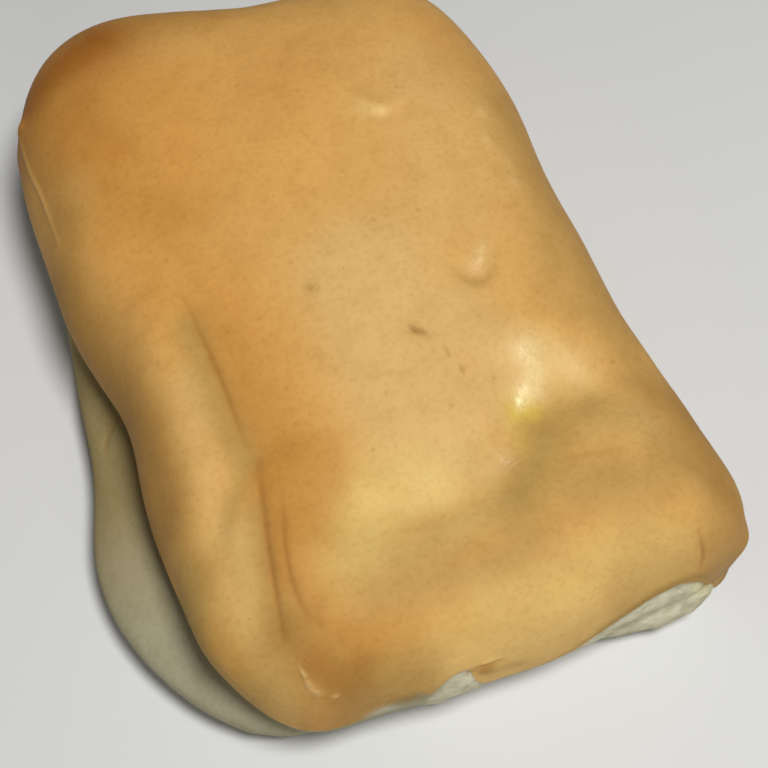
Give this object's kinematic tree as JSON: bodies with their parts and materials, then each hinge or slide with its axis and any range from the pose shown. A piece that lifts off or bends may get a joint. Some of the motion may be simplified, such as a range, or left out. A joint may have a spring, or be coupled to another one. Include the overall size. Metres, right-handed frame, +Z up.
{
  "type": "coco bread",
  "caption": "Soft folded bread with a golden crust: a rounded upper layer lies over a paler lower layer that shows on the open side. The front is torn to white crumb. Eaten plain or filled.",
  "frame": {"origin": "middle of the bread's box on the plan, at the level of its flat base", "axes": "+Z up from the base, +Y along the fold from the torn front to the back, +X from the open side to the fold"},
  "size_m": [0.1128, 0.156, 0.0465],
  "materials": {
    "crust": "satin"
  },
  "bodies": {
    "root": {"coco_bread": "crust"}
  },
  "joints": []
}
